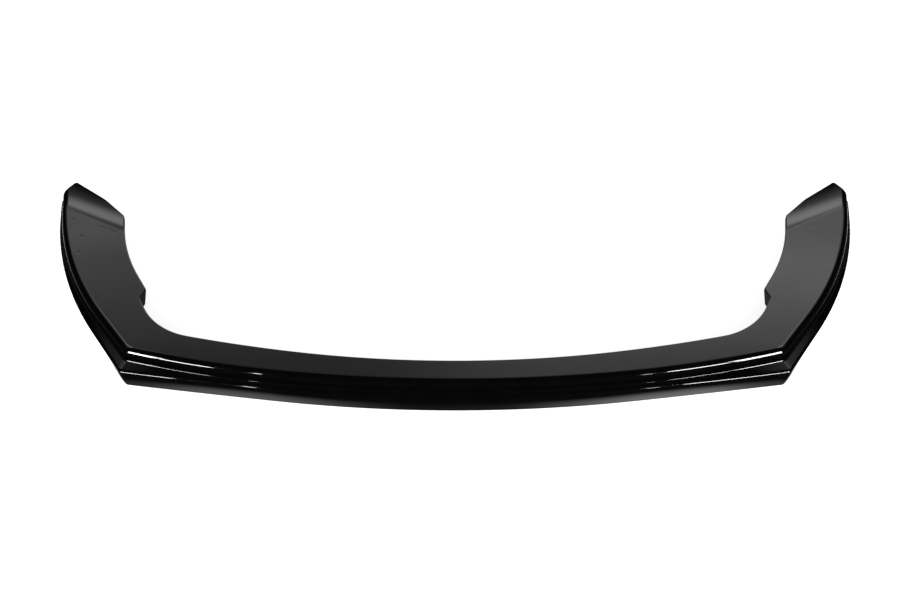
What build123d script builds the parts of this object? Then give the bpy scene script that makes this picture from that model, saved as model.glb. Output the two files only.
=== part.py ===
from build123d import *
import os
from collections import namedtuple
from math import cos, radians, sin, tan

# Driving dimensions in millimetres and degrees, for the right half of the lip.
# X runs out from the middle of the car, Y runs back from the toe of the nose, Z runs up from the ground edge.
# Headings are measured from +X towards +Y.

# Sheet and heights of the tiers
wall = 3.0
lip_height = 32.0
knee_height = 38.0
ledge_height = 45.0
seat_height = 62.0
crown_lean = 2.0

# Edge radii of the outer skin
crown_radius = 15.0
ledge_radius = 3.0
lip_radius = 8.0

# Lip line, the outermost edge, seen from above: headings at the quarter, into the corner and out of it
nose_y = 3.5
corner_x = 684.7
corner_y = 81.1
tail_x = 873.0
lip_quarter_heading = 8.0
lip_heading_in = 10.6
lip_heading_out = 58.3
lip_corner_radius = 14.0
lip_arm_radius = 790.0

# Ground edge: how far it stands out in front of the lip line and in from it on the arms
toe_nose = 3.0
toe_brow = 7.0
toe_side = 7.0
toe_turn_in = -1.8
toe_corner_radius = 12.0

# Slope from the lip line in to the knee, and how far the knee turns from the lip line
slope_nose = 5.0
slope_brow = 17.0
slope_cheek = 20.5
slope_tail = 2.2
slope_turn_quarter = -1.0
slope_turn_in = 5.4
slope_turn_out = -4.0
slope_corner_growth = 6.0
slope_arm_tightening = 75.0

# Knee, the short steep rise from the slope to the ledge
knee_lean = 3.0

# Ledge from the top of the knee in to the crown wall, and how far the wall turns from the knee
ledge_nose = 9.0
ledge_brow = 10.5
ledge_cheek = 5.0
ledge_tail = 4.0
ledge_turn_quarter = -0.2
ledge_turn_out = -0.5
ledge_corner_growth = 4.0
ledge_arm_tightening = 10.0

# Inner edge of the sheet, round the bay between the arms; each corner is placed from the last
bay_nose_y = 82.0
bay_quarter_heading = 9.0
bend_x = 617.0
bend_y = 168.0
bend_heading = 13.6
bend_radius = 145.0
jog_root_out = 41.0
jog_root_back = 93.0
jog_root_radius = 10.0
tab_in = 9.5
tab_back = 28.0
tab_radius = 5.0
bow_out = 68.0
bow_back = 128.0
bow_radius = 440.0
bay_tail_heading = 88.0
bay_edge_radius = 3.0
return_upright = 8.0
return_depth = 46.0
return_lean = 6.0

# Up-turned tail: where the seat starts to curl, behind the bow of the inner edge, and the trimmed rear edge
curl_back = 49.0
curl_heading = 27.8
curl_radius = 134.0
curl_angle = 45.0
rear_inner_back = 91.0
rear_inner_radius = 18.0
rear_middle_share = 0.43
rear_middle_bow = 5.4
rear_middle_radius = 150.0
tip_in = 36.0
tip_back = 98.0
tip_radius = 9.0
end_heading = -31.0

# Construction: how far shapes run past the tails, and how near an edge is to its plan line
run_out = 300.0
match = 0.05

# Corners of the inner edge and of the tail's trim in the plan
bend = Vector(bend_x, bend_y)
jog_root = bend + Vector(jog_root_out, jog_root_back)
tab = jog_root + Vector(-tab_in, tab_back)
bow = tab + Vector(bow_out, bow_back)
rear_inner = bow + Vector(rear_inner_back / tan(radians(bay_tail_heading)), rear_inner_back)
tip = Vector(tail_x - tip_in, rear_inner.Y + tip_back)
back_y = tip.Y + run_out

# Plan line of each tier: set back from the lip line at the nose, both sides of the corner and the tail
Tier = namedtuple("Tier", "nose brow cheek tail quarter into out_of corner_radius arm_radius")
lip = Tier(
    nose=0,
    brow=0,
    cheek=0,
    tail=0,
    quarter=lip_quarter_heading,
    into=lip_heading_in,
    out_of=lip_heading_out,
    corner_radius=lip_corner_radius,
    arm_radius=lip_arm_radius,
)
toe = lip._replace(
    nose=-toe_nose,
    brow=-toe_brow,
    cheek=toe_side,
    tail=toe_side,
    into=lip.into + toe_turn_in,
    corner_radius=toe_corner_radius,
)
knee = Tier(
    nose=slope_nose,
    brow=slope_brow,
    cheek=slope_cheek,
    tail=slope_tail,
    quarter=lip.quarter + slope_turn_quarter,
    into=lip.into + slope_turn_in,
    out_of=lip.out_of + slope_turn_out,
    corner_radius=lip.corner_radius + slope_corner_growth,
    arm_radius=lip.arm_radius - slope_arm_tightening,
)
step = knee._replace(
    nose=knee.nose + knee_lean,
    brow=knee.brow + knee_lean,
    cheek=knee.cheek + knee_lean,
    tail=knee.tail + knee_lean,
)
crown = Tier(
    nose=step.nose + ledge_nose,
    brow=step.brow + ledge_brow,
    cheek=step.cheek + ledge_cheek,
    tail=step.tail + ledge_tail,
    quarter=step.quarter + ledge_turn_quarter,
    into=step.into,
    out_of=step.out_of + ledge_turn_out,
    corner_radius=step.corner_radius + ledge_corner_growth,
    arm_radius=step.arm_radius - ledge_arm_tightening,
)


def heading(degrees):
    """Unit vector in the plan."""
    return Vector(cos(radians(degrees)), sin(radians(degrees)))


def direction(start, end):
    """Unit vector from one plan point to another."""
    return (end - start).normalized()


def bowed_nose(nose, end, quarter_heading, end_heading):
    """Two arcs from the middle of the nose to a point, meeting with one heading at the quarter."""
    first = tan(radians(quarter_heading / 2))
    second = tan(radians((quarter_heading + end_heading) / 2))
    run = (end.X * second - (end.Y - nose.Y)) / (second - first)
    quarter = nose + Vector(run, run * first)
    nose_arc = TangentArc(nose, quarter, tangent=Vector(1, 0))
    quarter_arc = TangentArc(quarter, end, tangent=heading(quarter_heading))
    return [nose_arc, quarter_arc]


def rounded_run(corners, courses, radii, inset=0):
    """Arcs round a row of plan corners and the lines between them, moved to their left by inset."""
    edges = []
    for corner, into, out_of, radius in zip(corners, courses, courses[1:], radii):
        half_turn = radians(into.get_angle(out_of)) / 2
        to_left = into.cross(out_of).Z > 0
        rounding = max(radius - inset if to_left else radius + inset, wall / 3)
        reach = rounding * tan(half_turn)
        left = (into + out_of).normalized().rotate(Axis.Z, 90)
        point = corner + left * (inset / cos(half_turn))
        start = point - into * reach
        if edges:
            edges.append(Line(edges[-1] @ 1, start))
        edges.append(TangentArc(start, point + out_of * reach, tangent=into))
    return edges


def tier_chain(tier, inset):
    """Nose, corner, arm and tail edges of one tier's plan line, moved in by inset."""
    turn = radians(lip_heading_out - lip_heading_in)
    slide = (tier.brow * cos(turn) - tier.cheek) / sin(turn)
    inward = heading(lip_heading_in + 90)
    corner = Vector(corner_x, corner_y) + inward * tier.brow + heading(lip_heading_in) * slide
    into = heading(tier.into)
    out_of = heading(tier.out_of)
    straight_back = Vector(0, 1)
    arm = corner + out_of * ((tail_x - tier.tail - corner.X) / out_of.X)
    radii = [tier.corner_radius, tier.arm_radius]
    run = rounded_run([corner, arm], [into, out_of, straight_back], radii, inset)
    nose = Vector(0, nose_y + tier.nose + inset)
    tail = Vector(tail_x - tier.tail - inset, back_y)
    return bowed_nose(nose, run[0] @ 0, tier.quarter, tier.into) + run + [Line(run[-1] @ 1, tail)]


def tier_face(tier, height, inset):
    """Plan face of one tier, closed straight across the back and down the middle."""
    chain = tier_chain(tier, inset)
    back = Vector(0, back_y)
    closing = [Line(chain[-1] @ 1, back), Line(back, chain[0] @ 0)]
    return Pos(0, 0, height) * Face(Wire(chain + closing))


def under_seat(drop):
    """Everything below the seat surface: flat, then curled up across the tail."""
    rise = heading(curl_heading + 90)
    side = Plane(origin=bow + Vector(0, curl_back), x_dir=rise, z_dir=heading(curl_heading))
    reach = 2 * tail_x
    seat = seat_height - drop
    radius = curl_radius + drop
    curl = CenterArc((0, seat + radius), radius, -90, curl_angle)
    top = curl @ 1
    profile = Wire(
        [
            Line((-reach, -wall), (-reach, seat)),
            Line((-reach, seat), (0, seat)),
            curl,
            Line(top, (top.X, -wall)),
            Line((top.X, -wall), (-reach, -wall)),
        ]
    )
    return extrude(side * Face(profile), reach, both=True)


def bay_chain(inset):
    """Inner edge of the sheet from the nose to straight out behind the tail, moved into the lip by inset."""
    corners = [bend, jog_root, tab, bow]
    between = [direction(start, end) for start, end in zip(corners, corners[1:])]
    tail_out = heading(bay_tail_heading)
    radii = [bend_radius, jog_root_radius, tab_radius, bow_radius]
    run = rounded_run(corners, [heading(bend_heading), *between, tail_out], radii, -inset)
    nose = Vector(0, bay_nose_y - inset)
    last = run[-1] @ 1
    behind = last + tail_out * ((back_y + wall - last.Y) / tail_out.Y)
    return bowed_nose(nose, run[0] @ 0, bay_quarter_heading, bend_heading) + run + [Line(last, behind)]


def bay_face(inset, height):
    """Plan face of the bay at one height; the return wall stands upright under the seat, then leans away."""
    lean_slope = return_lean / (return_depth - return_upright)
    fall = max(seat_height - return_upright - height, 0)
    chain = bay_chain(inset + lean_slope * fall)
    behind = chain[-1] @ 1
    middle = Vector(0, behind.Y)
    return Pos(0, 0, height) * Face(Wire(chain + [Line(behind, middle), Line(middle, chain[0] @ 0)]))


def bay_cut(inset, low, high):
    """The bay as a solid between two heights."""
    knuckle = min(high, seat_height - return_upright)
    cut = loft([bay_face(inset, low), bay_face(inset, knuckle)], ruled=True)
    if high > knuckle:
        cut += extrude(bay_face(inset, knuckle), high - knuckle)
    return cut


def tail_cut(high):
    """What is trimmed off behind the tail: inner corner, bowed rear edge, tip and slanted end."""
    inner = rear_inner - Vector(wall / 6, 0)
    across = tip - inner
    middle = inner + across * rear_middle_share + across.normalized().rotate(Axis.Z, 90) * rear_middle_bow
    last = heading(end_heading)
    courses = [heading(bay_tail_heading), direction(inner, middle), direction(middle, tip), last]
    run = rounded_run([inner, middle, tip], courses, [rear_inner_radius, rear_middle_radius, tip_radius])
    start = run[0] @ 0
    end = tip + last * ((tip_in + wall) / last.X)
    behind_y = back_y + wall
    outline = run + [
        Line(run[-1] @ 1, end),
        Line(end, (end.X, behind_y)),
        Line((end.X, behind_y), (start.X / 2, behind_y)),
        Line((start.X / 2, behind_y), (start.X / 2, start.Y)),
        Line((start.X / 2, start.Y), start),
    ]
    return extrude(Pos(0, 0, -wall) * Face(Wire(outline)), high + wall)


def edges_along(solid, chain, low, high, within=match):
    """Edges that run along a plan line between two heights."""
    line = Wire(chain)
    found = ShapeList()
    for edge in solid.edges():
        middle = edge @ 0.5
        level = abs((edge % 0.5).Z) < 0.9
        on_line = line.distance_to(Vertex(middle.X, middle.Y, 0)) < within
        if level and on_line and low - match < middle.Z < high + match:
            found.append(edge)
    return found


def lip_solid(inset, crown_edge, ledge_edge, lip_edge):
    """Right half of the lip as a full block, moved in by inset, with its long edges rounded."""
    lip_level = lip_height - inset / 2
    knee_level = knee_height - inset / 2
    ledge_level = ledge_height - inset
    step_inset = 2 * inset / 3
    levels = [
        tier_face(toe, -inset, inset),
        tier_face(lip, lip_level, inset),
        tier_face(knee, knee_level, inset),
        tier_face(step, ledge_level, step_inset),
    ]
    lower = Part() + [loft([low, high], ruled=True) for low, high in zip(levels, levels[1:])]
    lower = fillet(edges_along(lower, tier_chain(lip, inset), lip_level, lip_level), lip_edge)
    if ledge_edge:
        lower = fillet(edges_along(lower, tier_chain(step, step_inset), ledge_level, ledge_level), ledge_edge)
    crown_chain = tier_chain(crown, inset)
    crown_height = seat_height - ledge_height
    crown_face = tier_face(crown, ledge_level, inset)
    high_face = tier_face(crown, ledge_level + 3 * crown_height, inset + 3 * crown_lean)
    upper = loft([crown_face, high_face], ruled=True) & under_seat(inset)
    crown_edges = edges_along(upper, crown_chain, seat_height - inset, 3 * seat_height, 3 * crown_lean)
    upper = fillet(crown_edges, crown_edge)
    return lower + upper


def splitter_lip():
    """Whole lip: the outer block, hollowed to the sheet's thickness, mirrored about the middle of the car."""
    above = 4 * seat_height
    below = -3 * wall
    outer = lip_solid(0, crown_radius, ledge_radius, lip_radius) - bay_cut(0, below, above)
    outer = fillet(edges_along(outer, bay_chain(0), seat_height, above), bay_edge_radius)
    outer -= tail_cut(above)
    cavity = lip_solid(wall, crown_radius - wall, 0, lip_radius - wall) - bay_cut(wall, below, above)
    half = outer - cavity - bay_cut(2 * wall, below, seat_height - return_depth)
    body = half + mirror(half, about=Plane.YZ)
    return Pos(0, -body.bounding_box().center().Y, 0) * body


os.makedirs("parts", exist_ok=True)
export_step(splitter_lip(), "parts/splitter_lip.step")
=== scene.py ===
from collections import namedtuple
from math import copysign, cos, degrees, pi, radians, sin, sqrt, tan

import bmesh
import bpy
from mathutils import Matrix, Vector


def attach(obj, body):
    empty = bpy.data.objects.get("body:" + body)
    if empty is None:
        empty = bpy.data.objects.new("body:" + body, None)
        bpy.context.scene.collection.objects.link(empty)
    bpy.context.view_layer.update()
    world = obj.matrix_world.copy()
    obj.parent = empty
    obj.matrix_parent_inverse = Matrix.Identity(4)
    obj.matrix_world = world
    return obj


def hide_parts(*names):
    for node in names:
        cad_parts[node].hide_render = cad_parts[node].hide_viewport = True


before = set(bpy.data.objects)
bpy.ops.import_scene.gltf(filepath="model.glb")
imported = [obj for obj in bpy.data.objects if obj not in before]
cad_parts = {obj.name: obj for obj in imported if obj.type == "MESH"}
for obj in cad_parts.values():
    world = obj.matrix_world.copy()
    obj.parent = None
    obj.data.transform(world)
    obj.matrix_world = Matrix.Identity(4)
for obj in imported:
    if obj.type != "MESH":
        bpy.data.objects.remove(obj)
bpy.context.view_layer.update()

# The lip is drawn in millimetres, right half first: X out from the middle, Y back from the nose, Z up.
MM = 0.001

# Sheet, tier heights and edge radii
WALL = 3.0
LIP_HEIGHT = 32.0
KNEE_HEIGHT = 38.0
STEP_HEIGHT = 41.5
LEDGE_HEIGHT = 45.5
SEAT_HEIGHT = 62.0
CROWN_LEAN = 2.0
CROWN_RADIUS = 15.0
LEDGE_RADIUS = 4.0
LIP_RADIUS = 8.0
BAY_EDGE_RADIUS = 3.0
LEAST_RADIUS = 1.0

# Lower face: how far it swells between the ground edge and the lip line, and in how many rows
SWELL = 1.6
SWELL_ROWS = 5

# Lip line in the plan, and where its corner and tail are
NOSE_Y = 3.5
CORNER = Vector((684.7, 81.1, 0))
TAIL_X = 873.0
LIP_IN = 10.6
LIP_OUT = 58.3

# Inner edge in the plan, and the return wall that hangs from it
BAY_NOSE_Y = 82.0
BEND = Vector((617.0, 168.0, 0))
JOG_ROOT = Vector((658.0, 261.0, 0))
TAB = Vector((648.5, 289.0, 0))
BOW = Vector((716.5, 417.0, 0))
BAY_QUARTER = 9.0
BEND_HEADING = 13.6
BAY_TAIL_HEADING = 88.0
BAY_RADII = (145.0, 10.0, 5.0, 440.0)
RETURN_UPRIGHT = 8.0
RETURN_DEPTH = 46.0
RETURN_LEAN = 6.0

# Curled tail and its trimmed edge
CURL_START = BOW + Vector((0, 49.0, 0))
CURL_HEADING = 27.8
CURL_RADIUS = 134.0
CURL_RUN = 104.0
CURL_SLICES = 26
CURL_LIMIT = 0.9
REAR_INNER = Vector((719.18, 508.0, 0))
REAR_MIDDLE = Vector((766.1, 554.3, 0))
TIP = Vector((837.0, 606.0, 0))
END_HEADING = -31.0
REAR_RADII = (18.0, 150.0, 9.0)
TRIM_STEP = 8.0
BACK_Y = 780.0
TAIL_ZONE_Y = 448.0

# Middle of the lip's box, front to back, which the frame puts at zero
MID_Y = 302.35

# Tiers from the ground up: set-backs from the lip line at the nose, before and after the corner and at the
# tail, then headings at the end of the nose's arc, into the corner and out of it, and radii of corner and arm
Tier = namedtuple("Tier", "nose brow cheek tail quarter into out_of corner_radius arm_radius")
TOE = Tier(-3.0, -7.0, 7.0, 7.0, 8.0, 8.8, LIP_OUT, 12.0, 790.0)
LIP = Tier(0.0, 0.0, 0.0, 0.0, 8.0, LIP_IN, LIP_OUT, 14.0, 790.0)
KNEE = Tier(9.0, 21.0, 19.5, 0.6, 7.0, 16.0, 56.0, 20.0, 731.0)
STEP = Tier(10.5, 22.5, 21.0, 2.0, 7.0, 16.0, 56.0, 20.0, 745.0)
CROWN = Tier(17.0, 30.5, 24.5, 5.0, 6.8, 16.0, 55.7, 24.0, 748.0)

# Steps along each stretch of a plan line; both lists add up to the same count
FRONT_STEPS = (36, 36, 14, 16, 48, 10)
BAY_STEPS = (36, 36, 22, 6, 8, 4, 6, 8, 24, 10)
EDGE_SEGMENTS = 8
CREASE_ANGLE = 14.0

# How close vertices lie when they are cut, merged or dropped as slivers
CUT_MATCH = 1e-4
MERGE_MATCH = 0.01
SLIVER = 1e-3

# Gloss skin: near black, a little uneven, with shallow waves left by forming the sheet; heights are in metres
SKIN_DARK = (0.0008, 0.0008, 0.0009, 1)
SKIN_LIGHT = (0.0016, 0.0016, 0.0018, 1)
SKIN_ROUGHNESS = (0.035, 0.075)
MOTTLE_SCALE = 35.0
SHEEN_SCALE = 12.0
WAVE_SCALE = 5.0
WAVE_HEIGHT = 0.0003
PEEL_SCALE = 160.0
PEEL_HEIGHT = 0.000004
PATCH_EDGES = (0.3, 0.7)

# Small marks in the seat near the tails: place and reach in metres
MARKS = (
    ((-0.8287, 0.2004, 0.062), 0.006),
    ((-0.8276, 0.2230, 0.062), 0.005),
    ((-0.8037, 0.1460, 0.062), 0.007),
    ((-0.8052, 0.0957, 0.062), 0.006),
    ((0.7742, 0.1682, 0.062), 0.007),
    ((0.7696, 0.2386, 0.068), 0.006),
)
MARK_DEPTH = 0.0001

# Crease where the left tail starts to curl: centre, heading, half length, half width and depth
CREASE_PLACE = Vector((-0.7505, 0.1682, 0.062))
CREASE_HEADING = -28.0
CREASE_REACH = (0.032, 0.0035)
CREASE_DEPTH = 0.00012

# Underside and trimmed rims: the same sheet, satin where it is not polished
UNDERSIDE_DARK = (0.008, 0.008, 0.0085, 1)
UNDERSIDE_LIGHT = (0.016, 0.016, 0.017, 1)
UNDERSIDE_ROUGHNESS = (0.32, 0.46)
UNDERSIDE_PATCH_SCALE = 18.0
UNDERSIDE_GRAIN_SCALE = 420.0
UNDERSIDE_GRAIN = 0.00003

# Studio: lamps in front of each side, aimed at that side's front corner
Lamp = namedtuple("Lamp", "name place width height radiance")
LAMPS = (
    Lamp("left_broad_strip", (-2.21, -2.29, 0.72), 0.39, 0.97, 45.0),
    Lamp("left_thin_strip", (-1.85, -2.50, 0.60), 0.39, 0.34, 45.0),
    Lamp("left_spot", (-1.33, -2.71, 0.54), 0.064, 0.33, 30.0),
    Lamp("right_broad_strip", (2.16, -2.32, 0.72), 0.52, 0.97, 45.0),
    Lamp("right_thin_strip", (1.66, -2.58, 0.60), 0.46, 0.34, 45.0),
    Lamp("right_spot", (1.29, -2.73, 0.54), 0.064, 0.33, 16.0),
)
LAMP_AIM = (0.58, -0.24, 0.05)

# A number that eases from low to high while another runs from start to end
Fade = namedtuple("Fade", "start end low high")

# Floor: its paint, and its glow, which an ambient-occlusion mask dims where the lip covers it, a painted
# shadow under the lip
FLOOR_SIZE = 6.0
FLOOR_COLOUR = (0.80, 0.80, 0.80, 1)
FLOOR_GLOW_WITH_PAINTED_SHADOW = Fade(0.05, 0.40, 0.02, 0.70)
PAINTED_SHADOW_REACH = 0.12
PAINTED_SHADOW_SAMPLES = 8

# The lip's outline on the floor in metres: the nose's reach and bow, and the centre and radius of each arm
NOSE_REACH = 0.302
NOSE_BOW = 0.157
ARM_CENTRE = (0.083, 0.308)
ARM_SWING = 0.79

# Floor as the lip mirrors it: by how far from the middle, to the right, and out from the lip's outline
NOSE_SHINE = Fade(0.08, 0.42, 0.10, 1.4)
CORNER_SHINE = Fade(0.50, 0.66, 1.0, 0.3)
RIGHT_SHINE = Fade(-0.1, 0.2, 1.0, 1.65)
ARM_ONSET = Fade(0.69, 0.75, 0.0, 1.0)
ARM_SHINE = 6.0
OUTER_SHINE = Fade(0.0, 0.038, 1.0, 0.005)
UNDER_SHINE = Fade(-0.015, -0.003, 0.12, 1.0)

# Room: the light that fills it
ROOM_FILL = 0.45

# Grey that the lip mirrors from behind: by how far back, aside, up and to the right it looks
BACK_GREY = 0.36
BACK_ONSET = Fade(-0.02, 0.40, 0.0, 1.0)
BACK_WIDTH = Fade(0.22, 0.70, 1.0, 0.0)
BACK_LOWER = Fade(0.665, 0.735, 2.6, 1.0)
BACK_RIGHT = Fade(-0.06, 0.06, 1.0, 2.3)
BACK_FOOT = (0.664, 0.680)
FOOT_SIDES = Fade(-0.1, 0.1, 1.4, 0.68)

# Glow that the tails mirror: by how far up and aside they look
TAIL_GLOW = 2.6
GLOW_FOOT = Fade(0.66, 0.78, 0.0, 1.0)
GLOW_TOP = Fade(0.87, 0.92, 1.0, 0.0)
GLOW_INNER = Fade(0.19, 0.27, 0.0, 1.0)
GLOW_OUTER = Fade(0.30, 0.43, 1.0, 0.15)

# Camera: the photograph's angle, distance and lens
CAMERA_ELEVATION = 45.0
CAMERA_DISTANCE = 4.0
CAMERA_LENS = 73.7
CAMERA_SENSOR = 36.0
CAMERA_SHIFT = 0.0054
CAMERA_AIM = Vector((0, -0.0056, 0))

Leg = namedtuple("Leg", "radius turn length")


def heading(angle):
    return Vector((cos(radians(angle)), sin(radians(angle)), 0))


def heading_of(run):
    return -degrees(Vector((1, 0)).angle_signed(run.xy))


def nose_legs(nose, end, quarter, into):
    """Two arcs from the middle of the nose to a point."""
    first = tan(radians(quarter / 2))
    second = tan(radians((quarter + into) / 2))
    run = (end.x * second - (end.y - nose.y)) / (second - first)
    nose_radius = run / sin(radians(quarter))
    quarter_radius = (end.x - run) / (sin(radians(into)) - sin(radians(quarter)))
    return [Leg(nose_radius, quarter, 0), Leg(quarter_radius, into - quarter, 0)]


def rounded_legs(corners, headings, radii, inset):
    """Arcs round a row of plan corners and the straights between them, with the first and last points."""
    legs = []
    last = None
    for corner, into, out_of, radius in zip(corners, headings, headings[1:], radii):
        turn = out_of - into
        half = radians(abs(turn)) / 2
        rounding = max(radius - inset if turn > 0 else radius + inset, LEAST_RADIUS)
        reach = rounding * tan(half)
        point = corner + heading((into + out_of) / 2 + 90) * (inset / cos(half))
        start = point - heading(into) * reach
        if last is None:
            first = start
        else:
            legs.append(Leg(0, 0, (start - last).length))
        legs.append(Leg(rounding, turn, 0))
        last = point + heading(out_of) * reach
    return legs, first, last


def tier_legs(tier, inset):
    """Nose, corner, arm and tail of one tier's plan line."""
    turn = radians(LIP_OUT - LIP_IN)
    slide = (tier.brow * cos(turn) - tier.cheek) / sin(turn)
    corner = CORNER + heading(LIP_IN + 90) * tier.brow + heading(LIP_IN) * slide
    out_of = heading(tier.out_of)
    arm = corner + out_of * ((TAIL_X - tier.tail - corner.x) / out_of.x)
    headings = (tier.into, tier.out_of, 90)
    run, first, last = rounded_legs((corner, arm), headings, (tier.corner_radius, tier.arm_radius), inset)
    nose = Vector((0, NOSE_Y + tier.nose + inset, 0))
    return nose, nose_legs(nose, first, tier.quarter, tier.into) + run + [Leg(0, 0, BACK_Y - last.y)]


def bay_legs(inset):
    """The inner edge's plan line, from the nose to straight out behind the tail."""
    corners = (BEND, JOG_ROOT, TAB, BOW)
    between = [heading_of(end - start) for start, end in zip(corners, corners[1:])]
    headings = (BEND_HEADING, *between, BAY_TAIL_HEADING)
    run, first, last = rounded_legs(corners, headings, BAY_RADII, -inset)
    nose = Vector((0, BAY_NOSE_Y - inset, 0))
    tail = (BACK_Y - last.y) / sin(radians(BAY_TAIL_HEADING))
    return nose, nose_legs(nose, first, BAY_QUARTER, BEND_HEADING) + run + [Leg(0, 0, tail)]


def swollen_tier(share):
    """A plan line part of the way up the lower face, swollen out from the straight."""
    out = SWELL * 4 * share * (1 - share)
    straight = Tier(*(low + (high - low) * share for low, high in zip(TOE, LIP)))
    return straight._replace(
        nose=straight.nose - out,
        brow=straight.brow - out,
        cheek=straight.cheek - out,
        tail=straight.tail - out,
    )


def draw_line(bm, line, level, steps):
    """Draws a plan line from one vertex: its arcs are spun and its straights are extruded."""
    nose, legs = line
    known = len(bm.edges)
    end = bm.verts.new((nose.x, nose.y, level))
    course = 0
    for leg, count in zip(legs, steps):
        if leg.turn:
            side = 90 if leg.turn > 0 else -90
            centre = end.co + heading(course + side) * leg.radius
            turn = radians(leg.turn)
            spun = bmesh.ops.spin(bm, geom=[end], cent=centre, axis=(0, 0, 1), angle=turn, steps=count)
            end = [item for item in spun["geom_last"] if isinstance(item, bmesh.types.BMVert)][0]
            course += leg.turn
        else:
            for _ in range(count):
                grown = bmesh.ops.extrude_vert_indiv(bm, verts=[end])
                end = grown["verts"][0]
                end.co += heading(course) * (leg.length / count)
    bm.edges.ensure_lookup_table()
    return bm.edges[known:]


def tiered_skin():
    """Right half of the outer skin with sharp ridges: tiers, seat and return wall bridged from plan lines."""
    bm = bmesh.new()
    weight = bm.edges.layers.float.new("bevel_weight_edge")
    rows = [row / SWELL_ROWS for row in range(1, SWELL_ROWS)]
    tiers = [
        (TOE, 0, 0, 0),
        *((swollen_tier(share), 0, share * LIP_HEIGHT, 0) for share in rows),
        (LIP, 0, LIP_HEIGHT, LIP_RADIUS),
        (KNEE, 0, KNEE_HEIGHT, 0),
        (STEP, 0, STEP_HEIGHT, LEDGE_RADIUS),
        (CROWN, 0, LEDGE_HEIGHT, 0),
        (CROWN, CROWN_LEAN, SEAT_HEIGHT, CROWN_RADIUS),
    ]
    returns = [
        (0, SEAT_HEIGHT, BAY_EDGE_RADIUS),
        (0, SEAT_HEIGHT - RETURN_UPRIGHT, 0),
        (RETURN_LEAN, SEAT_HEIGHT - RETURN_DEPTH, 0),
    ]
    lines = [draw_line(bm, tier_legs(tier, inset), level, FRONT_STEPS) for tier, inset, level, _ in tiers]
    lines += [draw_line(bm, bay_legs(inset), level, BAY_STEPS) for inset, level, _ in returns]
    for low, high in zip(lines, lines[1:]):
        bmesh.ops.bridge_loops(bm, edges=list(low) + list(high))
    for line, (*_, radius) in zip(lines, tiers + returns):
        if radius:
            for edge in line:
                edge[weight] = radius * tan(edge.calc_face_angle() / 2) / CROWN_RADIUS
    return bm


def applied(bm, add_modifier):
    """The mesh with one modifier made part of it."""
    mesh = bpy.data.meshes.new("lip_draft")
    mesh.materials.append(None)
    mesh.materials.append(None)
    bm.to_mesh(mesh)
    bm.free()
    draft = bpy.data.objects.new("lip_draft", mesh)
    bpy.context.scene.collection.objects.link(draft)
    add_modifier(draft)
    shaped = bpy.data.meshes.new_from_object(draft.evaluated_get(bpy.context.evaluated_depsgraph_get()))
    result = bmesh.new()
    result.from_mesh(shaped)
    bpy.data.objects.remove(draft)
    bpy.data.meshes.remove(mesh)
    bpy.data.meshes.remove(shaped)
    return result


def ridge_rounding(draft):
    """Rounds each ridge to its own radius; the weight holds how far the rounding reaches."""
    bevel = draft.modifiers.new("ridge_rounding", "BEVEL")
    bevel.limit_method = "WEIGHT"
    bevel.width = CROWN_RADIUS
    bevel.segments = EDGE_SEGMENTS
    bevel.profile = 0.5
    bevel.use_clamp_overlap = False
    bevel.material = -1


def sheet_wall(draft):
    """Gives the skin the sheet's thickness, inwards."""
    solidify = draft.modifiers.new("sheet_wall", "SOLIDIFY")
    solidify.thickness = WALL
    solidify.offset = -1
    solidify.use_even_offset = True
    solidify.material_offset = 1
    solidify.material_offset_rim = 1


def in_tail(bm):
    """Everything behind the line across the arm where the tail starts."""
    faces = [face for face in bm.faces if face.calc_center_median().y > TAIL_ZONE_Y]
    return faces + list({e for f in faces for e in f.edges}) + list({v for f in faces for v in f.verts})


def slice_tail(bm, point, normal, trim=False):
    """Cuts the tail along an upright plane, and clears what lies beyond it if it is trimmed there."""
    zone = in_tail(bm)
    bmesh.ops.bisect_plane(bm, geom=zone, dist=CUT_MATCH, plane_co=point, plane_no=normal, clear_outer=trim)


def curl_tail(bm):
    """Curls the seat up across the tail, in fine slices."""
    rise = heading(CURL_HEADING + 90)
    for i in range(CURL_SLICES):
        slice_tail(bm, CURL_START + rise * (i * CURL_RUN / CURL_SLICES), rise)
    wall_top = LEDGE_HEIGHT + WALL / 2
    for vert in bm.verts:
        along = (vert.co - CURL_START).dot(rise)
        if along > 0 and vert.co.z > wall_top and vert.co.y > TAIL_ZONE_Y:
            along = min(along, CURL_RADIUS * CURL_LIMIT)
            vert.co.z += CURL_RADIUS - sqrt(CURL_RADIUS**2 - along**2)


def trim_tail(bm):
    """Trims the tail to its rounded rear edge and slanted end."""
    corners = (REAR_INNER, REAR_MIDDLE, TIP)
    between = [heading_of(end - start) for start, end in zip(corners, corners[1:])]
    headings = (BAY_TAIL_HEADING, *between, END_HEADING)
    for corner, into, out_of, radius in zip(corners, headings, headings[1:], REAR_RADII):
        half = radians(abs(out_of - into)) / 2
        centre = corner - heading((into + out_of) / 2 + 90) * (radius / cos(half))
        cuts = max(2, round(abs(out_of - into) / TRIM_STEP))
        for i in range(cuts + 1):
            outward = heading(into + (out_of - into) * i / cuts + 90)
            if i or corner is not REAR_INNER:
                slice_tail(bm, centre + outward * radius, outward, trim=True)


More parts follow.
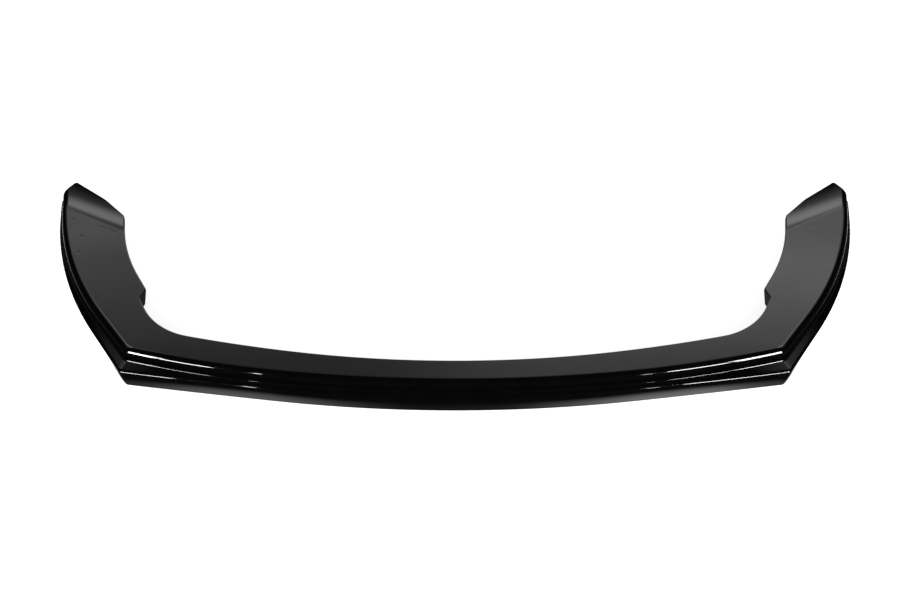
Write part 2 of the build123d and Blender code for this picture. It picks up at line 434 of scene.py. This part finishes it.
def lip_mesh():
    """The whole lip as one sheet."""
    bm = applied(tiered_skin(), ridge_rounding)
    everything = bm.verts[:] + bm.edges[:] + bm.faces[:]
    zone = (0, TAIL_ZONE_Y, 0)
    bmesh.ops.bisect_plane(bm, geom=everything, dist=CUT_MATCH, plane_co=zone, plane_no=(0, 1, 0))
    curl_tail(bm)
    trim_tail(bm)
    bmesh.ops.remove_doubles(bm, verts=bm.verts, dist=MERGE_MATCH)
    everything = bm.verts[:] + bm.edges[:] + bm.faces[:]
    bmesh.ops.mirror(bm, geom=everything, axis="X", merge_dist=MERGE_MATCH)
    bmesh.ops.recalc_face_normals(bm, faces=bm.faces)
    seat = max(bm.faces, key=lambda face: face.calc_area())
    if seat.normal.z < 0:
        bmesh.ops.reverse_faces(bm, faces=bm.faces)
    bm = applied(bm, sheet_wall)
    for vert in bm.verts:
        if vert.co.z < WALL / 2:
            vert.co.z = 0
    bmesh.ops.dissolve_degenerate(bm, dist=SLIVER, edges=bm.edges)
    bmesh.ops.translate(bm, verts=bm.verts, vec=(0, -MID_Y, 0))
    bmesh.ops.scale(bm, verts=bm.verts, vec=(MM, MM, MM))
    return bm


def node(tree, kind, **settings):
    made = tree.nodes.new(kind)
    for name, value in settings.items():
        setattr(made, name, value)
    return made


def feed(tree, socket, value):
    """Links an output to a socket, or sets the socket to a plain value."""
    if isinstance(value, bpy.types.NodeSocket):
        tree.links.new(value, socket)
    else:
        socket.default_value = value


def maths(tree, operation, first, second=0.0):
    made = node(tree, "ShaderNodeMath", operation=operation)
    feed(tree, made.inputs[0], first)
    feed(tree, made.inputs[1], second)
    return made.outputs[0]


def product(tree, total, *factors):
    for factor in factors:
        total = maths(tree, "MULTIPLY", total, factor)
    return total


def fade(tree, value, start, end, low, high):
    """Eases from low to high while a value runs from start to end."""
    made = node(tree, "ShaderNodeMapRange", interpolation_type="SMOOTHSTEP")
    names = ("Value", "From Min", "From Max", "To Min", "To Max")
    for name, setting in zip(names, (value, start, end, low, high)):
        feed(tree, made.inputs[name], setting)
    return made.outputs["Result"]


def blend(tree, amount, first, second):
    """A number between two, by an amount."""
    made = node(tree, "ShaderNodeMix")
    for socket, value in zip((0, 2, 3), (amount, first, second)):
        feed(tree, made.inputs[socket], value)
    return made.outputs[0]


def tint(tree, amount, first, second):
    """A colour between two, by an amount."""
    made = node(tree, "ShaderNodeMix", data_type="RGBA")
    for socket, value in zip((0, 6, 7), (amount, first, second)):
        feed(tree, made.inputs[socket], value)
    return made.outputs[2]


def clouds(tree, place, scale, detail):
    made = node(tree, "ShaderNodeTexNoise")
    for name, value in (("Vector", place), ("Scale", scale), ("Detail", detail)):
        feed(tree, made.inputs[name], value)
    return made.outputs["Fac"]


def relief(tree, height, distance, over=None):
    """A normal with a small relief, over another one."""
    made = node(tree, "ShaderNodeBump")
    feed(tree, made.inputs["Height"], height)
    feed(tree, made.inputs["Distance"], distance)
    if over:
        feed(tree, made.inputs["Normal"], over)
    return made.outputs["Normal"]


def finish(name):
    """A new material with its tree, its shader and the place on the piece."""
    material = bpy.data.materials.new(name)
    material.use_nodes = True
    tree = material.node_tree
    place = node(tree, "ShaderNodeTexCoord").outputs["Object"]
    return material, tree, tree.nodes["Principled BSDF"], place


def seat_marks(tree, place):
    """Small dimples in the seat."""
    total = 0.0
    for centre, reach in MARKS:
        gap = node(tree, "ShaderNodeVectorMath", operation="DISTANCE")
        feed(tree, gap.inputs[0], place)
        feed(tree, gap.inputs[1], centre)
        total = maths(tree, "ADD", fade(tree, gap.outputs["Value"], 0.0, reach, -1.0, 0.0), total)
    return total


def tail_crease(tree, place):
    """A short crease across the left tail."""
    gap = node(tree, "ShaderNodeVectorMath", operation="SUBTRACT")
    feed(tree, gap.inputs[0], place)
    feed(tree, gap.inputs[1], CREASE_PLACE)
    total = 0.0
    for turn, reach in zip((0, 90), CREASE_REACH):
        along = node(tree, "ShaderNodeVectorMath", operation="DOT_PRODUCT")
        feed(tree, along.inputs[0], gap.outputs[0])
        feed(tree, along.inputs[1], heading(CREASE_HEADING + turn) / reach)
        share = along.outputs["Value"]
        total = maths(tree, "ADD", product(tree, share, share), total)
    return fade(tree, total, 0.0, 1.0, -1.0, 0.0)


def gloss_black_skin():
    material, tree, shader, place = finish("gloss_black_skin")
    mottle = clouds(tree, place, MOTTLE_SCALE, 3.0)
    sheen = clouds(tree, place, SHEEN_SCALE, 2.0)
    feed(tree, shader.inputs["Base Color"], tint(tree, mottle, SKIN_DARK, SKIN_LIGHT))
    feed(tree, shader.inputs["Roughness"], fade(tree, sheen, *PATCH_EDGES, *SKIN_ROUGHNESS))
    waves = relief(tree, clouds(tree, place, WAVE_SCALE, 0.0), WAVE_HEIGHT)
    peel = relief(tree, clouds(tree, place, PEEL_SCALE, 1.0), PEEL_HEIGHT, waves)
    marked = relief(tree, seat_marks(tree, place), MARK_DEPTH, peel)
    feed(tree, shader.inputs["Normal"], relief(tree, tail_crease(tree, place), CREASE_DEPTH, marked))
    return material


def satin_black_underside():
    material, tree, shader, place = finish("satin_black_underside")
    grain = clouds(tree, place, UNDERSIDE_GRAIN_SCALE, 2.0)
    patches = clouds(tree, place, UNDERSIDE_PATCH_SCALE, 3.0)
    feed(tree, shader.inputs["Base Color"], tint(tree, patches, UNDERSIDE_DARK, UNDERSIDE_LIGHT))
    feed(tree, shader.inputs["Roughness"], fade(tree, patches, *PATCH_EDGES, *UNDERSIDE_ROUGHNESS))
    feed(tree, shader.inputs["Normal"], relief(tree, grain, UNDERSIDE_GRAIN))
    return material


def lip_piece():
    bm = lip_mesh()
    for edge in bm.edges:
        edge.smooth = edge.calc_face_angle() < radians(CREASE_ANGLE)
    for face in bm.faces:
        face.smooth = True
    mesh = bpy.data.meshes.new("splitter_lip_sheet")
    bm.to_mesh(mesh)
    bm.free()
    piece = bpy.data.objects.new("splitter_lip_sheet", mesh)
    bpy.context.scene.collection.objects.link(piece)
    mesh.materials.append(gloss_black_skin())
    mesh.materials.append(satin_black_underside())
    normals = piece.modifiers.new("true_faces", "WEIGHTED_NORMAL")
    normals.keep_sharp = True
    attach(piece, "root")
    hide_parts("splitter_lip")


def beyond_lip(tree, aside, depth):
    """How far a place on the floor lies outside the lip's outline."""
    bow = product(tree, aside, aside, NOSE_BOW)
    ahead = maths(tree, "SUBTRACT", maths(tree, "SUBTRACT", bow, NOSE_REACH), depth)
    across = maths(tree, "SUBTRACT", aside, ARM_CENTRE[0])
    along = maths(tree, "SUBTRACT", depth, ARM_CENTRE[1])
    swing = maths(tree, "ADD", product(tree, across, across), product(tree, along, along))
    beside = maths(tree, "SUBTRACT", maths(tree, "SQRT", swing), ARM_SWING)
    return maths(tree, "MAXIMUM", ahead, beside)


def mirrored_floor(tree):
    """What the lip mirrors of the floor: pale close to its outline, dark further out and at the nose."""
    place = node(tree, "ShaderNodeSeparateXYZ")
    feed(tree, place.inputs[0], node(tree, "ShaderNodeTexCoord").outputs["Object"])
    aside = maths(tree, "ABSOLUTE", place.outputs["X"])
    outside = beyond_lip(tree, aside, place.outputs["Y"])
    front = product(
        tree,
        fade(tree, aside, *NOSE_SHINE),
        fade(tree, aside, *CORNER_SHINE),
        fade(tree, place.outputs["X"], *RIGHT_SHINE),
    )
    pale = blend(tree, fade(tree, aside, *ARM_ONSET), front, ARM_SHINE)
    return product(tree, pale, fade(tree, outside, *OUTER_SHINE), fade(tree, outside, *UNDER_SHINE))


def pale_floor():
    material = bpy.data.materials.new("pale_floor")
    material.use_nodes = True
    tree = material.node_tree
    tree.nodes.clear()
    matt = node(tree, "ShaderNodeBsdfDiffuse")
    feed(tree, matt.inputs["Color"], FLOOR_COLOUR)
    # Painted shadow: ambient occlusion dims the floor's glow where the lip covers it
    painted_shadow_ao = node(tree, "ShaderNodeAmbientOcclusion", samples=PAINTED_SHADOW_SAMPLES)
    feed(tree, painted_shadow_ao.inputs["Distance"], PAINTED_SHADOW_REACH)
    glow = node(tree, "ShaderNodeEmission")
    feed(tree, glow.inputs["Strength"], fade(tree, painted_shadow_ao.outputs["AO"], *FLOOR_GLOW_WITH_PAINTED_SHADOW))
    lit = node(tree, "ShaderNodeAddShader")
    feed(tree, lit.inputs[0], matt.outputs[0])
    feed(tree, lit.inputs[1], glow.outputs[0])
    mirrored = node(tree, "ShaderNodeEmission")
    feed(tree, mirrored.inputs["Strength"], mirrored_floor(tree))
    surface = node(tree, "ShaderNodeMixShader")
    feed(tree, surface.inputs[0], node(tree, "ShaderNodeLightPath").outputs["Is Glossy Ray"])
    feed(tree, surface.inputs[1], lit.outputs[0])
    feed(tree, surface.inputs[2], mirrored.outputs[0])
    output = node(tree, "ShaderNodeOutputMaterial")
    feed(tree, output.inputs["Surface"], surface.outputs[0])
    return material


def studio_floor():
    bm = bmesh.new()
    bmesh.ops.create_grid(bm, x_segments=1, y_segments=1, size=FLOOR_SIZE)
    mesh = bpy.data.meshes.new("studio_floor")
    bm.to_mesh(mesh)
    bm.free()
    plane = bpy.data.objects.new("studio_floor", mesh)
    bpy.context.scene.collection.objects.link(plane)
    mesh.materials.append(pale_floor())


def mirrored_room(tree):
    """What the lip mirrors of the room: grey behind it, a glow for its tails, and dark in front of it."""
    look = node(tree, "ShaderNodeSeparateXYZ")
    feed(tree, look.inputs[0], node(tree, "ShaderNodeTexCoord").outputs["Generated"])
    across = look.outputs["X"]
    height = look.outputs["Z"]
    aside = maths(tree, "ABSOLUTE", across)
    behind = fade(tree, look.outputs["Y"], *BACK_ONSET)
    grey = product(
        tree,
        behind,
        fade(tree, aside, *BACK_WIDTH),
        fade(tree, height, *BACK_LOWER),
        fade(tree, across, *BACK_RIGHT),
        fade(tree, height, *BACK_FOOT, fade(tree, across, *FOOT_SIDES), 1.0),
        BACK_GREY,
    )
    glow = product(
        tree,
        behind,
        fade(tree, height, *GLOW_FOOT),
        fade(tree, height, *GLOW_TOP),
        fade(tree, aside, *GLOW_INNER),
        fade(tree, aside, *GLOW_OUTER),
        TAIL_GLOW,
    )
    return maths(tree, "ADD", grey, glow)


def studio_room():
    """White to the camera, with an even fill for the lip and its own picture for the lip's gloss."""
    room = bpy.data.worlds.new("studio_room")
    bpy.context.scene.world = room
    room.use_nodes = True
    tree = room.node_tree
    rays = node(tree, "ShaderNodeLightPath").outputs
    unseen = blend(tree, rays["Is Glossy Ray"], ROOM_FILL, mirrored_room(tree))
    background = tree.nodes["Background"]
    feed(tree, background.inputs["Strength"], blend(tree, rays["Is Camera Ray"], unseen, 1.0))
    feed(tree, background.inputs["Color"], (1, 1, 1, 1))


def studio_lamps():
    for lamp in LAMPS:
        data = bpy.data.lights.new(lamp.name, "AREA")
        data.shape = "RECTANGLE"
        data.size = lamp.width
        data.size_y = lamp.height
        data.energy = lamp.radiance * pi * lamp.width * lamp.height
        stand = bpy.data.objects.new(lamp.name, data)
        bpy.context.scene.collection.objects.link(stand)
        stand.location = lamp.place
        aim = Vector(LAMP_AIM)
        aim.x = copysign(aim.x, lamp.place[0])
        stand.rotation_euler = (aim - stand.location).to_track_quat("-Z", "Y").to_euler()
        stand.visible_camera = False


def photo_camera():
    data = bpy.data.cameras.new("photo_camera")
    data.sensor_width = CAMERA_SENSOR
    data.lens = CAMERA_LENS
    data.shift_x = CAMERA_SHIFT
    view = bpy.data.objects.new("photo_camera", data)
    bpy.context.scene.collection.objects.link(view)
    tilt = radians(CAMERA_ELEVATION)
    view.location = CAMERA_AIM + Vector((0, -cos(tilt), sin(tilt))) * CAMERA_DISTANCE
    view.rotation_euler = (pi / 2 - tilt, 0, 0)
    bpy.context.scene.camera = view


bpy.context.scene.view_settings.view_transform = "Standard"
lip_piece()
studio_floor()
studio_room()
studio_lamps()
photo_camera()
